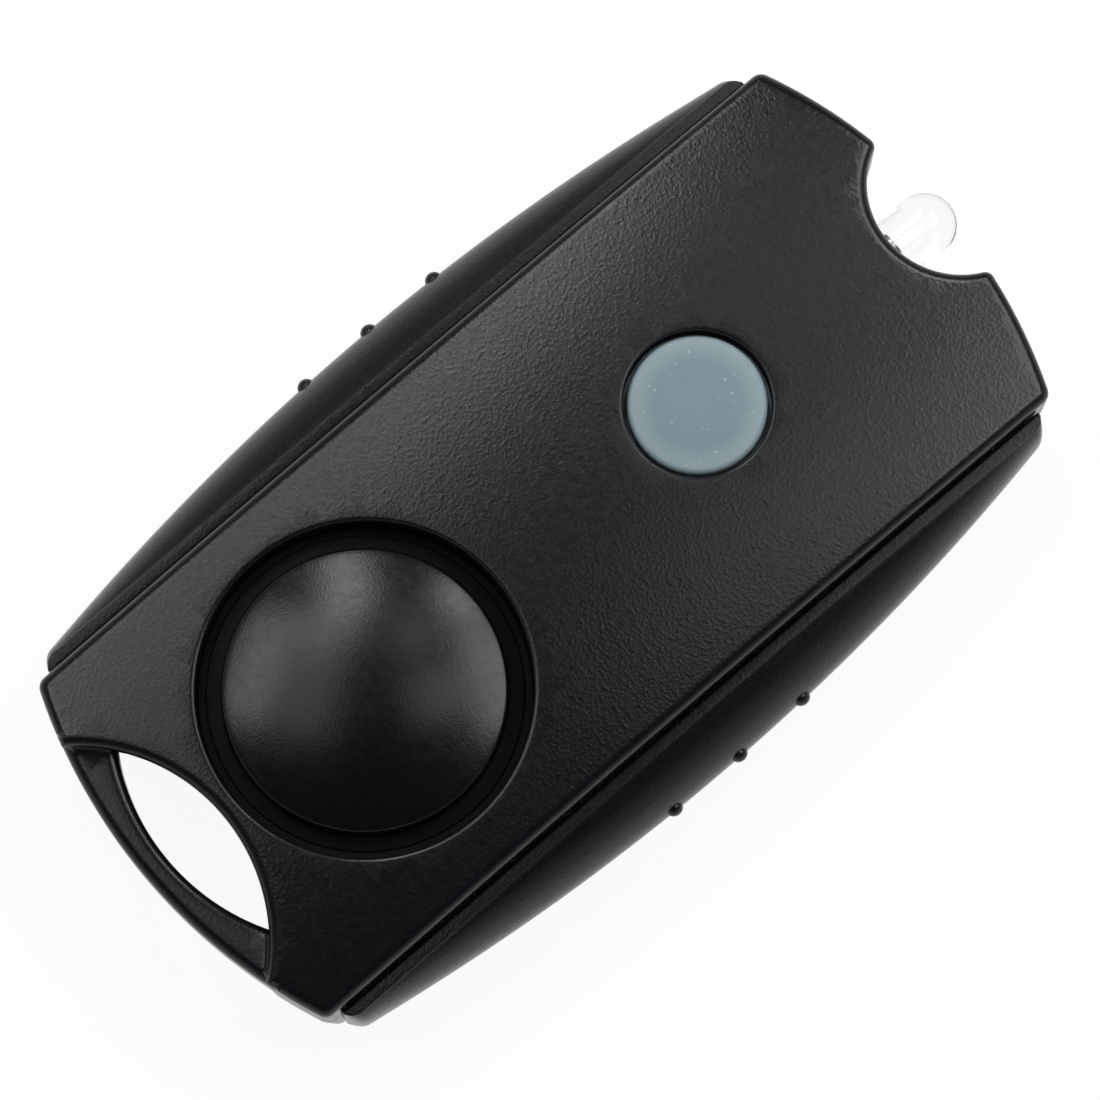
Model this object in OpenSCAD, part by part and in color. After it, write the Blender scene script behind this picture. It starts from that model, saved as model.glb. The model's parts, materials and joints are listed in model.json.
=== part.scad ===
// Personal safety alarm: a crowned plastic case with a domed alarm button, a small
// light button, a torch LED at one end, a strap loop at the other and two side grips.
// Frame: X to the right, Y towards the LED, Z up through the front face, origin on the back.

/* [Case] */
// Length of the case between the crests of its two bowed ends
case_length = 80; // [78:0.5:88]
// Width of the case between its two grip seams
case_width = 34; // [33:0.5:38]
// Height of the front face at its crown, above the back
case_height = 16; // [15.5:0.25:18]
// Height of the seam between the two covers, which is also the LED's axis
seam_height = 8; // [7.5:0.25:8.5]
// Rise of each bowed end from its corners to its crest
end_rise = 3.4; // [2.5:0.1:4.5]
// Thickness of the side and end walls
wall = 1.6; // [1.2:0.1:1.8]
// Thickness of the front face
roof = 1.8; // [1.4:0.1:2]
// Thickness of the back
floor_thickness = 1.6; // [1.3:0.1:1.9]
// Radius of the front face's crown across the case
crown_across = 112; // [90:2:160]
// Radius of the front face's crown along the case
crown_along = 400; // [320:10:600]
// Rounding of the front face's long edges
front_round = 0.9; // [0.5:0.1:1.4]
// Rounding of the back's long edges
back_round = 2.2; // [1.2:0.1:3]
// Lean of the back's two ends, from the seam down to the back
back_lean = 0.8; // [0.4:0.1:1]

/* [Alarm button] */
// Distance of the alarm button's middle from the crest of the strap end
alarm_inset = 21.8; // [21.6:0.1:22.6]
// Radius of the well that the alarm button sits in
well_radius = 12.85; // [12.5:0.05:13.2]
// Radius of the dome's edge
dome_radius = 10.95; // [10:0.05:11.4]
// Rise of the dome from its edge to its crest
dome_rise = 2; // [1.4:0.1:2.8]
// Depth of the dome's edge below the face at the middle of the well
dome_sink = 1; // [0.6:0.1:1.4]
// Rounding of the dome's edge
dome_round = 0.4; // [0.2:0.05:0.6]
// Height of the dome's side above the step around it
dome_side = 1.8; // [1.4:0.1:2]
// Gap between the step around the dome and the well
well_gap = 0.65; // [0.4:0.05:0.9]
// Travel of the alarm button
alarm_travel = 1.2; // [0.8:0.1:1.4]
// Thickness of the dome and its skirt
dome_wall = 1.3; // [1:0.1:1.6]
// Width of the flange that keeps the button in the well
flange_width = 1.4; // [1:0.1:1.6]
// Thickness of that flange
flange_thickness = 1; // [0.8:0.1:1.2]
// Wire diameter of the return spring
spring_wire = 0.7; // [0.5:0.05:0.8]
// Turns of the return spring
spring_turns = 3.5; // [3:0.25:4]

/* [Light button] */
// Distance of the light button's middle from the crest of the LED end
light_inset = 24.7; // [24.2:0.1:25.4]
// Radius of the hole that the light button stands in
light_hole_radius = 5.75; // [5.6:0.05:6.2]
// Radius of the light button
light_radius = 5.4; // [4.8:0.05:5.5]
// Depth of the light button's top below the face
light_sink = 0.35; // [0:0.05:0.7]
// Rounding of the light button's edge
light_round = 0.5; // [0.3:0.05:1]
// Travel of the light button
light_travel = 0.9; // [0.6:0.05:1.1]
// Width of the light button's flange
light_flange = 1.3; // [1:0.1:1.6]

/* [Light] */
// Radius of the LED
led_radius = 2.5; // [2.3:0.05:2.6]
// Length of the LED from the back of its flange to its tip
led_length = 9.2; // [8:0.1:9.6]
// Radius of the notch around the LED
notch_radius = 7.06; // [6.2:0.05:7.6]
// Distance of the notch's centre beyond the crest of the end
notch_out = 2.1; // [1.6:0.1:2.8]

/* [Strap loop] */
// Radius of the scoop in the face at the strap end
scoop_radius = 15.15; // [14.6:0.05:15.6]
// Distance of the scoop's centre beyond the crest of the end
scoop_out = 7.7; // [7.4:0.1:8.4]
// Width of the strap bar at its middle
bar_width = 2.2; // [1.8:0.1:2.6]
// Radius of the strap hole's outer edge
hole_radius = 18; // [15:0.5:24]
// Depth of the strap bar's top below the face at the scoop's edge
bar_drop = 2; // [1.5:0.1:2.6]
// Height of the strap bar from its top to its underside
bar_height = 3.4; // [2.8:0.1:4]
// Distance that the case stands back below the bar
strap_relief = 0.6; // [0.4:0.1:1.4]

/* [Grips] */
// Distance that each grip stands out from its seam, at its middle
grip_bulge = 5; // [3.6:0.1:6]
// Distance that each grip stands out at its two tips
grip_tip = 1.7; // [1.4:0.1:2.4]
// Length of each grip
grip_length = 70.6; // [64:0.2:72]
// Width of the flat ledge along each seam
ledge_width = 1.1; // [0.8:0.05:1.3]
// Depth of the ledge below the face's edge
ledge_drop = 2; // [1.4:0.1:2.6]
// Gap between each grip and the case
grip_gap = 0.12; // [0.08:0.02:0.2]
// Radius of the small nubs on each grip
nub_radius = 0.9; // [0.6:0.05:1.1]
// Distance between the nubs
nub_pitch = 6.5; // [5:0.1:8]
// Distance of the middle nub from the middle of the case, towards the LED
nub_shift = 0.7; // [0:0.1:2]
// Width of the tongues that hold each grip
tongue_width = 8; // [6:0.5:10]

/* [Battery] */
// Diameter of a coin cell
cell_diameter = 20; // [19.6:0.1:20.2]
// Thickness of a coin cell
cell_thickness = 1.6; // [1.4:0.1:1.7]
// Distance of the battery's middle from the crest of the LED end
battery_inset = 26; // [25.4:0.1:26.8]
// Angle that the battery cap turns to open
cap_turn = 60; // [50:1:70]
// Width of the coin slot in the battery cap
coin_slot = 1.9; // [1.4:0.1:2.4]

/* [Board and siren] */
// Thickness of the circuit board
board_thickness = 1.2; // [1:0.1:1.4]
// Width of the circuit board
board_width = 26; // [24:0.5:26.5]
// Diameter of the siren's brass plate
siren_diameter = 23; // [21:0.5:23.5]
// Distance of the siren's middle from the crest of the strap end
siren_inset = 24; // [23.6:0.1:24.6]
// Width of each sound slot in the back
sound_slot = 1.4; // [1:0.1:1.6]
// Shank radius of the case screws
screw_radius = 1; // [0.8:0.05:1.1]

/* [Hidden] */
$fn = 96;
eps = 0.05;
// Running clearance of round fits, and the free space around pieces that only sit in place
fit = 0.05;
play = 0.3;

// Plan of the case
half_length = case_length / 2;
half_width = case_width / 2;
end_radius = (half_width ^ 2 + end_rise ^ 2) / (2 * end_rise);
end_centre = half_length - end_radius;
notch_y = half_length + notch_out;
notch_floor_y = notch_y - notch_radius;
scoop_y = -half_length - scoop_out;
crease_y = scoop_y + scoop_radius;
hole_edge_y = -half_length + bar_width;
relief_radius = scoop_radius + strap_relief;
alarm_y = alarm_inset - half_length;
light_y = half_length - light_inset;
battery_y = half_length - battery_inset;
siren_y = siren_inset - half_length;

// Height of the crowned face over any point of the plan
function crown_z(x, y) =
    let(across = crown_along - crown_across + sqrt(crown_across ^ 2 - x ^ 2))
    case_height - crown_along + sqrt(across ^ 2 - y ^ 2);

// Heights of the strap bar
bar_top = crown_z(0, crease_y) - bar_drop;
bar_bottom = bar_top - bar_height;

// Board, with the LED's leads lying on it
lead = 0.5;
lead_gap = 2.54;
board_top = seam_height - lead / 2;
board_bottom = board_top - board_thickness;
board_start = 13.5;
board_end = 14;
board_y_min = board_start - half_length;
board_y_max = half_length - board_end;
board_screw_x = board_width / 2 - 1.8;
board_screw_y = alarm_y + 14.6;
board_screw_radius = 0.8;
board_screw_head = 1.5;
board_screw_head_height = 1;
board_screw_bite = 4.5;
board_boss_radius = 1.9;

// Case screws: one pair at each end
screw_x = half_width - wall - 3.2;
screw_inset = [10.5, 10];
screw_places = [for (side = [-1, 1]) each
    [[side * screw_x, half_length - screw_inset[0]], [side * screw_x, screw_inset[1] - half_length]]];
boss_radius = 2.2;
post_radius = 2.4;
head_radius = 1.9;
head_height = 1.2;
head_sink = 0.5;
screw_length = seam_height + 2.4;

// Alarm button
dome_edge_z = crown_z(0, alarm_y) - dome_sink;
dome_sphere = (dome_radius ^ 2 + dome_rise ^ 2) / (2 * dome_rise);
dome_centre_z = dome_edge_z + dome_rise - dome_sphere;
step_radius = well_radius - well_gap;
step_z = dome_edge_z - dome_side;
step_height = 0.2;
flange_radius = step_radius + flange_width;
flange_top = step_z - step_height;
flange_bottom = flange_top - flange_thickness;
collar_bottom = flange_bottom - alarm_travel - 1.2;
collar_radius = half_width - wall + eps;
flange_flat_y = alarm_y - step_radius;
switch_width = 7;
switch_height = 3.5;
switch_top = board_top + switch_height;
alarm_plunger_radius = 1.7;
alarm_plunger_top = switch_top + alarm_travel + 0.4;
spring_radius = 5.75;
spring_seat_z = alarm_plunger_top + 0.1;

// Light button
light_top = crown_z(0, light_y) - light_sink;
light_pad_z = crown_z(light_hole_radius + light_flange + 0.8, light_y + light_hole_radius) - roof - 0.1;
light_flange_radius = light_hole_radius + light_flange - 0.5;
light_flange_bottom = light_pad_z - 0.8;
pill_radius = 2;
pill_height = 0.5;
pill_bottom = board_top + light_travel;
skirt_base_radius = 8.3;
skirt_base_height = 0.9;
skirt_wall = 0.6;

// Parts on the board: low ones beside the light button's skirt, tall ones past the board screws
low_parts_y = light_y - skirt_base_radius - 0.5;
tall_parts_y = board_screw_y + board_boss_radius + play;
chip_size = [4, 5, 1.05];
chip_stand = 0.15;
chip_leg = [0.6, 0.4, 0.5];
chip_pitch = 1.27;
transistor_size = [1.4, 2.9, 1];
resistor_size = [1.6, 0.85, 0.5];
resistor_pitch = 1.9;
row_x = -chip_size.x / 2 - 3.7;
coil_radius = 3;
coil_height = 4;
coil_flange = 0.8;
coil_core = 1.6;
coil_place = [board_width / 2 - coil_radius, tall_parts_y + coil_radius];
can_radius = 2.5;
can_foot = [5.2, 5.2, 0.8];
can_headroom = 1.1;
can_place = [can_foot.x / 2 + 0.2 - board_width / 2, tall_parts_y + can_foot.y / 2];
can_height = crown_z(board_width / 2, can_place.y) - roof - can_headroom - board_top;

// LED: its flange stands behind the notch's wall
led_flange_radius = led_radius + 0.4;
led_flange_thickness = 1;
led_front_y = notch_floor_y - wall - fit;
led_back_y = led_front_y - led_flange_thickness;
led_rib_thickness = 1.3;

// Battery
cell_radius = cell_diameter / 2;
cell_step = 0.25;
cap_face = 0.15;
cap_disc_top = 0.9;
seal_thickness = 0.3;
lip_bottom = cap_disc_top + seal_thickness;
lip_top = lip_bottom + 0.8;
cap_plug_radius = cell_radius + 0.55;
cap_radius = cap_plug_radius + 1;
ear_radius = cap_radius - 0.1;
ear_angle = 24;
ear_bottom = lip_top + fit;
ear_top = ear_bottom + 0.7;
cell_base_z = 1.9;
bay_radius = ear_radius + 1.5;
cell_top = cell_base_z + 2 * cell_thickness;
bay_top = cell_top + 0.3;
contact_width = 4;
contact_thickness = 0.3;
contact_reach = 1.5;
contact_play = 0.02;
coin_slot_length = 15;
coin_slot_depth = 1;

// Siren
siren_radius = siren_diameter / 2;
siren_plate_thickness = 0.25;
siren_seat_z = floor_thickness + 1.8;
siren_plate_top = siren_seat_z + siren_plate_thickness;
ceramic_radius = siren_radius - 3.5;
ceramic_thickness = 0.2;
siren_ring = siren_radius + 1.4;
gasket_width = 2.2;

// Grips
grip_inner = half_width + grip_gap;
grip_outer = half_width + grip_bulge;
ledge_x = grip_inner + ledge_width;
grip_half = grip_length / 2;
grip_drop = grip_bulge - grip_tip;
grip_arc = (grip_half ^ 2 + grip_drop ^ 2) / (2 * grip_drop);
grip_tip_round = 1.2;
tongue_height = 2;
tongue_foot = 1.1;
tongue_lip = 1.5;
tongue_x = half_width - wall - fit - tongue_foot;
// One pair of tongues stands past the alarm button's collar, the other beside the light button
tongue_places = [alarm_y + sqrt(collar_radius ^ 2 - tongue_x ^ 2) + tongue_width / 2 + 2, light_y + 4.5];

black_plastic = "#1c1c1e";
grip_plastic = "#202022";

// Shared shapes

// Plan of the case: straight sides and two bowed ends, drawn in by an inset
module plan(inset = 0) {
    intersection() {
        translate([0, end_centre]) circle(r = end_radius - inset);
        translate([0, -end_centre]) circle(r = end_radius - inset);
        square([case_width - 2 * inset, 2 * case_length], center = true);
    }
}

// Inside of the case in plan, clear of the notch and of the strap end
module inner_plan() {
    difference() {
        plan(wall);
        translate([0, notch_y]) circle(r = notch_radius + wall);
        translate([0, scoop_y]) circle(r = relief_radius + wall);
    }
}

// Section of the crowned face, to be swept along the case
module crown_section(inset) {
    round_radius = front_round;
    corner_x = half_width - round_radius;
    tangent_x = corner_x * crown_across / (crown_across - round_radius);
    centre = crown_along - crown_across;
    corner_r = centre + sqrt((crown_across - round_radius) ^ 2 - corner_x ^ 2);
    base = crown_along - case_height - 2;
    if (inset > 0) {
        intersection() {
            translate([centre, 0]) circle(r = crown_across - inset, $fn = 256);
            translate([base, -half_width]) square([case_height + 2, case_width]);
        }
    } else {
        intersection() {
            translate([centre, 0]) circle(r = crown_across, $fn = 256);
            translate([base, -tangent_x]) square([case_height + 2, 2 * tangent_x]);
        }
        translate([base, -half_width]) square([corner_r - base, case_width]);
        for (side = [-1, 1]) translate([corner_r, side * corner_x]) circle(r = round_radius);
    }
}

// Solid under the crowned face
module crown(inset = 0) {
    sweep = 2 * asin((half_length + 6) / (crown_along - case_height));
    translate([0, 0, case_height - crown_along])
        rotate([0, -90, 0])
            rotate([0, 0, -sweep / 2])
                rotate_extrude(angle = sweep, $fn = 256) crown_section(inset);
}

module at_screws() {
    for (place = screw_places) translate(place) children();
}

module at_board_screws() {
    for (side = [-1, 1]) translate([side * board_screw_x, board_screw_y, 0]) children();
}

// Slots at the seam for the necks of the grips' tongues
module tongue_slots() {
    for (side = [-1, 1], y = tongue_places)
        translate([side * (half_width - wall / 2), y, seam_height])
            cube([wall + 1, tongue_width + 2 * fit, tongue_height + 2 * fit], center = true);
}

// Strap hole: the lens between the scoop's edge and the bar's inner edge
module strap_hole() {
    intersection() {
        translate([0, scoop_y]) circle(r = scoop_radius);
        translate([0, hole_edge_y + hole_radius]) circle(r = hole_radius);
    }
}

// LED's way through the notch wall, and the passage of its leads through the ribs
module led_passage() {
    translate([0, led_front_y - eps, seam_height])
        rotate([-90, 0, 0]) cylinder(r = led_radius + fit, h = notch_radius);
    translate([0, led_back_y - led_rib_thickness, seam_height])
        cube([lead_gap + 1.6, 4 * led_rib_thickness, lead + 0.7], center = true);
}

module led_rib(height) {
    translate([-4.5, led_back_y - fit - led_rib_thickness, 0])
        cube([9, led_rib_thickness, height]);
}

// Slab that keeps only what lies on the LED side of the flat on the alarm button's flange
module beyond_flat(clearance) {
    translate([-case_width / 2, flange_flat_y - clearance, 0])
        cube([case_width, 2 * case_width, case_height + 4]);
}

// Pieces

module front_cover() {
    color(black_plastic) difference() {
        union() {
            difference() {
                intersection() {
                    translate([0, 0, seam_height]) linear_extrude(case_height) plan();
                    crown();
                }
                intersection() {
                    translate([0, 0, seam_height - 1]) linear_extrude(case_height) inner_plan();
                    crown(roof);
                }
            }
            intersection() {
                crown(roof / 2);
                linear_extrude(case_height) plan(wall / 2);
                front_inside();
            }
        }
        front_cuts();
    }
}

// What hangs from the inside of the face
module front_inside() {
    translate([0, 0, collar_bottom]) linear_extrude(case_height)
        intersection() {
            translate([0, alarm_y]) circle(r = collar_radius);
            translate([-half_width, flange_flat_y - 1]) square([case_width, case_width]);
        }
    translate([0, light_y, light_pad_z])
        cylinder(r = light_hole_radius + light_flange + 1, h = case_height);
    translate([0, 0, seam_height]) at_screws() cylinder(r = boss_radius, h = case_height);
    translate([0, 0, board_top]) at_board_screws() cylinder(r = board_boss_radius, h = case_height);
    translate([0, 0, seam_height]) led_rib(case_height);
}

module front_cuts() {
    translate([0, alarm_y, 0]) cylinder(r = well_radius, h = 2 * case_height);
    intersection() {
        translate([0, alarm_y, 0]) cylinder(r = flange_radius + play, h = flange_top + fit);
        beyond_flat(play);
    }
    translate([0, light_y, 0]) cylinder(r = light_hole_radius, h = 2 * case_height);
    translate([0, notch_y, 0]) cylinder(r = notch_radius, h = 2 * case_height);
    translate([0, scoop_y, bar_top]) cylinder(r = scoop_radius, h = case_height);
    translate([0, scoop_y, bar_bottom - case_height]) cylinder(r = relief_radius, h = case_height);
    linear_extrude(2 * case_height) strap_hole();
    led_passage();
    tongue_slots();
    at_screws() cylinder(r = screw_radius + fit / 2, h = head_sink + head_height + screw_length + 0.5);
    at_board_screws() cylinder(r = board_screw_radius + fit / 2, h = board_top + board_screw_bite + play);
}

module back_cover() {
    color(black_plastic) difference() {
        union() {
            difference() {
                back_block();
                translate([0, 0, floor_thickness]) linear_extrude(case_height) inner_plan();
            }
            intersection() {
                back_block();
                translate([0, 0, floor_thickness / 2]) back_inside();
            }
        }
        translate([0, notch_y, -1]) cylinder(r = notch_radius, h = case_height);
        translate([0, scoop_y, -1]) cylinder(r = relief_radius, h = case_height);
        led_passage();
        tongue_slots();
        at_screws() {
            translate([0, 0, -1]) cylinder(r = screw_radius + 0.15, h = case_height);
            translate([0, 0, -1]) cylinder(r = head_radius + 0.2, h = 1 + head_sink + head_height);
        }
        translate([0, battery_y, 0]) battery_bay();
        translate([0, siren_y, 0]) siren_seat();
    }
}

// What stands on the inside of the back
module back_inside() {
    at_screws() cylinder(r = post_radius, h = seam_height);
    translate([0, battery_y, 0]) cylinder(r = bay_radius, h = bay_top - floor_thickness / 2);
    translate([0, siren_y, 0]) cylinder(r = siren_ring, h = siren_plate_top + 0.6 - floor_thickness / 2);
    led_rib(seam_height);
}

// Outside of the back: rounded along its sides, leaning in at its ends
module back_block() {
    intersection() {
        linear_extrude(seam_height) plan();
        translate([0, case_length, 0]) rotate([90, 0, 0]) linear_extrude(2 * case_length) back_section();
        for (side = [-1, 1]) translate([0, side * end_centre, 0])
            cylinder(r1 = end_radius - back_lean, r2 = end_radius, h = seam_height);
    }
}

module back_section() {
    corner_x = half_width - back_round;
    translate([-half_width, back_round]) square([case_width, seam_height]);
    translate([-corner_x, 0]) square([2 * corner_x, seam_height]);
    for (side = [-1, 1]) translate([side * corner_x, back_round]) circle(r = back_round);
}

// Hollow for the cells and the cap, with a lip that the cap's ears turn behind
module battery_bay() {
    translate([0, 0, -1]) cylinder(r = cap_radius + 0.12, h = lip_bottom + 1);
    translate([0, 0, -1]) cylinder(r = cap_plug_radius + fit, h = lip_top + 2);
    translate([0, 0, lip_top]) cylinder(r = ear_radius + play, h = ear_top - lip_top + play);
    translate([0, 0, lip_top]) cylinder(r = cell_radius + play, h = case_height);
    ears(cap_turn, 6, play / 2, lip_bottom - eps, lip_top + eps);
    translate([-contact_width / 2 - play, cell_radius, ear_top + play / 2])
        cube([contact_width + 2 * play, contact_reach + play, bay_top]);
}

// Three ears around the battery cap, or the gaps in the lip that let them in
module ears(turn, spare_angle, spare_radius, bottom, top) {
    half_angle = (ear_angle + spare_angle) / 2;
    reach = 2 * ear_radius;
    for (i = [0:2]) rotate([0, 0, 90 + turn + 120 * i])
        translate([0, 0, bottom]) intersection() {
            cylinder(r = ear_radius + spare_radius, h = top - bottom);
            linear_extrude(case_height) polygon([
                [0, 0],
                [reach * cos(half_angle), -reach * sin(half_angle)],
                [reach * cos(half_angle), reach * sin(half_angle)]
            ]);
        }
}

// Chamber under the siren, its seat and the slots that let the sound out
module siren_seat() {
    translate([0, 0, floor_thickness]) cylinder(r = siren_radius - 1, h = case_height);
    translate([0, 0, siren_seat_z]) cylinder(r = siren_radius + fit, h = case_height);
    for (i = [-2:2]) translate([2 * sound_slot * i, 0, -1]) sound_slot(15 - 1.6 * i ^ 2);
}

module sound_slot(length) {
    straight = length - sound_slot;
    translate([-sound_slot / 2, -straight / 2, 0]) cube([sound_slot, straight, 4]);
    for (side = [-1, 1]) translate([0, side * straight / 2, 0]) cylinder(r = sound_slot / 2, h = 4);
}

// Half width of a grip at any place along it, drawn in to a round tip
function grip_edge(y) = grip_outer - grip_arc + sqrt(grip_arc ^ 2 - y ^ 2);
function tip_share(y) =
    let(past = max(0, abs(y) - (grip_half - grip_tip_round)) / grip_tip_round)
    max(0.3, sqrt(max(0, 1 - past ^ 2)));

// Section of a grip: ledge, flank over the bulge, lower ledge and the flat against the case
grip_steps = 9;
start_angle = 24;
function flank(y, top, side) = [for (i = [0:grip_steps])
    let(step = side > 0 ? i : grip_steps - i,
        angle = start_angle + (90 - start_angle) * step / grip_steps,
        out = (sin(angle) - sin(start_angle)) / (1 - sin(start_angle)),
        up = cos(angle) / cos(start_angle),
        edge = max(grip_edge(y), ledge_x + 0.1))
    [ledge_x + (edge - ledge_x) * out, seam_height + side * top * up]];
function grip_section(y) =
    let(top = crown_z(half_width, y) - ledge_drop,
        bottom = back_round + 0.9,
        upper = flank(y, top - 0.15 - seam_height, 1),
        lower = flank(y, seam_height - bottom - 0.15, -1),
        flat = [[grip_inner, bottom], [grip_inner, top]],
        outline = concat(flat, upper, [for (i = [1:grip_steps]) lower[i]]))
    [for (p = outline) [grip_inner + (p.x - grip_inner) * tip_share(y), y, p.y]];
grip_tip_steps = 5;
grip_stations = concat(
    [for (i = [0:grip_tip_steps - 1]) -grip_half + grip_tip_round * (1 - cos(90 * i / grip_tip_steps))],
    [for (i = [0:28]) (grip_half - grip_tip_round) * (i / 14 - 1)],
    [for (i = [grip_tip_steps - 1:-1:0]) grip_half - grip_tip_round * (1 - cos(90 * i / grip_tip_steps))]);

module grip_body() {
    rings = [for (y = grip_stations) grip_section(y)];
    count = len(rings[0]);
    last = len(rings) - 1;
    sides = [for (i = [0:last - 1], j = [0:count - 1])
        let(k = (j + 1) % count, a = i * count, b = (i + 1) * count)
        each [[a + j, b + j, b + k], [a + j, b + k, a + k]]];
    caps = [[for (j = [0:count - 1]) j], [for (j = [count - 1:-1:0]) last * count + j]];
    polyhedron([for (ring = rings) each ring], concat(sides, caps));
}

// Right-hand grip with its nubs and the two tongues that the covers clamp
module grip() {
    color(grip_plastic) union() {
        grip_body();
        for (i = [-1:1])
            let(y = nub_shift + i * nub_pitch)
                translate([grip_edge(y) - nub_radius / 2, y, seam_height + 0.6])
                    sphere(r = nub_radius, $fn = 32);
        for (y = tongue_places) {
            translate([tongue_x, y - tongue_width / 2, seam_height - tongue_height / 2])
                cube([half_width + 1 - tongue_x, tongue_width, tongue_height]);
            translate([tongue_x, y - tongue_width / 2, seam_height - tongue_height / 2 - tongue_lip])
                cube([tongue_foot, tongue_width, tongue_height + 2 * tongue_lip]);
        }
    }
}

module right_grip() {
    grip();
}

module left_grip() {
    mirror([1, 0, 0]) grip();
}

module case_screws() {
    color("silver") translate([0, 0, head_sink]) at_screws()
        screw(head_radius, head_height, screw_radius, screw_length);
}

module board_screws() {
    color("silver") translate([0, 0, board_bottom - board_screw_head_height]) at_board_screws()
        screw(board_screw_head, board_screw_head_height, board_screw_radius,
            board_thickness + board_screw_bite);
}

// Screw with its head at the bottom, a cross recess and a plain point
module screw(head, height, shank, length) {
    difference() {
        union() {
            cylinder(r = head, h = height);
            cylinder(r = shank, h = height + length - shank);
            translate([0, 0, height + length - shank]) cylinder(r1 = shank, r2 = shank / 3, h = shank);
        }
        for (turn = [0, 90]) rotate([0, 0, turn])
            cube([1.3 * head, 0.3 * head, height], center = true);
    }
}

// Profile of a domed top: a ball of one radius, rounded into an upright side
module domed_profile(ball, centre_z, radius, rounding, bottom) {
    corner_x = radius - rounding;
    corner_z = centre_z + sqrt((ball - rounding) ^ 2 - corner_x ^ 2);
    tangent_x = corner_x * ball / (ball - rounding);
    intersection() {
        translate([0, centre_z]) circle(r = ball, $fn = 256);
        translate([0, bottom]) square([tangent_x, 2 * case_height]);
    }
    translate([0, bottom]) square([radius, corner_z - bottom]);
    translate([corner_x, corner_z]) circle(r = rounding);
}

module alarm_button() {
    color("#161617") translate([0, alarm_y, 0]) {
        difference() {
            union() {
                rotate_extrude()
                    domed_profile(dome_sphere, dome_centre_z, dome_radius, dome_round, step_z - step_height);
                translate([0, 0, flange_bottom]) cylinder(r = step_radius, h = step_z - flange_bottom);
                intersection() {
                    translate([0, 0, flange_bottom]) cylinder(r = flange_radius, h = flange_thickness);
                    translate([0, -alarm_y, 0]) beyond_flat(0);
                }
            }
            alarm_button_hollow();
        }
        difference() {
            alarm_button_posts();
            translate([0, 0, dome_centre_z]) difference() {
                cube(4 * dome_sphere, center = true);
                sphere(r = dome_sphere - dome_wall / 2, $fn = 256);
            }
        }
    }
}

module alarm_button_hollow() {
    intersection() {
        translate([0, 0, dome_centre_z]) sphere(r = dome_sphere - dome_wall, $fn = 256);
        translate([0, 0, flange_bottom - 1]) cylinder(r = dome_radius - dome_wall, h = case_height);
    }
}

// Post over the switch and the ring that the spring pushes on
module alarm_button_posts() {
    translate([0, 0, alarm_plunger_top]) cylinder(r = 2.2, h = case_height);
    translate([0, 0, spring_seat_z]) difference() {
        cylinder(r = spring_radius + 0.7, h = case_height);
        translate([0, 0, -1]) cylinder(r = spring_radius - 0.7, h = case_height + 2);
    }
}

// Points along the spring, and the tube around them
spring_sides = 8;
spring_rings = 24 * spring_turns;
spring_rise = spring_seat_z - board_top - spring_wire;
spring_step = spring_rise / spring_turns;
function spring_point(i) =
    let(a = 15 * i)
    [spring_radius * cos(a), spring_radius * sin(a), spring_rise * i / spring_rings];
function spring_ring(i) =
    let(a = 15 * i, p = spring_point(i))
    [for (j = [0:spring_sides - 1])
        let(b = 360 * j / spring_sides, r = spring_wire / 2)
        [p.x + r * cos(b) * cos(a), p.y + r * cos(b) * sin(a), p.z + r * sin(b)]];

module alarm_button_spring() {
    echo("least gap between the spring's turns", spring_step - spring_wire);
    points = [for (i = [0:spring_rings]) each spring_ring(i)];
    sides = [for (i = [0:spring_rings - 1], j = [0:spring_sides - 1])
        let(k = (j + 1) % spring_sides, a = i * spring_sides, b = a + spring_sides)
        each [[a + j, a + k, b + k], [a + j, b + k, b + j]]];
    caps = [[for (j = [spring_sides - 1:-1:0]) j],
        [for (j = [0:spring_sides - 1]) spring_rings * spring_sides + j]];
    color("silver") translate([0, alarm_y, board_top + spring_wire / 2])
        polyhedron(points, concat(sides, caps));
}

module alarm_switch_body() {
    color("#2b2b2b") translate([0, alarm_y, board_top]) difference() {
        translate([-switch_width / 2, -switch_width / 2, 0])
            cube([switch_width, switch_width, switch_height]);
        translate([0, 0, 0.6]) cylinder(r = alarm_plunger_radius + fit, h = switch_height);
    }
}

module alarm_switch_plunger() {
    bottom = board_top + 0.7 + alarm_travel;
    color("white") translate([0, alarm_y, bottom])
        cylinder(r = alarm_plunger_radius, h = alarm_plunger_top - bottom);
}

module light_button() {
    ball = 60;
    color("#85979d") translate([0, light_y, 0]) difference() {
        union() {
            rotate_extrude()
                domed_profile(ball, light_top - ball, light_radius, light_round, light_flange_bottom);
            translate([0, 0, light_flange_bottom])
                cylinder(r = light_flange_radius, h = light_pad_z - light_flange_bottom);
            translate([0, 0, pill_bottom + pill_height])
                cylinder(r = pill_radius + 0.6, h = light_top - pill_bottom - 1.5);
        }
        translate([0, 0, light_flange_bottom - 1]) difference() {
            cylinder(r = light_radius - 1.1, h = 2);
            cylinder(r = pill_radius + 0.6, h = 2);
        }
    }
}

// Thin silicone cone that carries the light button on the board
module light_button_skirt() {
    foot = board_top + skirt_base_height;
    rise = light_flange_bottom - foot;
    low = skirt_base_radius - 0.2;
    low_bore = low - 2 * skirt_wall;
    color("#7d8f95") translate([0, light_y, 0]) difference() {
        union() {
            translate([0, 0, board_top]) cylinder(r = skirt_base_radius, h = skirt_base_height);
            translate([0, 0, foot]) cylinder(r1 = low, r2 = light_flange_radius, h = rise);
        }
        translate([0, 0, board_top - 1]) cylinder(r = low_bore, h = skirt_base_height + 1 + eps);
        translate([0, 0, foot])
            cylinder(r1 = low_bore, r2 = light_flange_radius - skirt_wall, h = rise + eps);
    }
}

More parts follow.
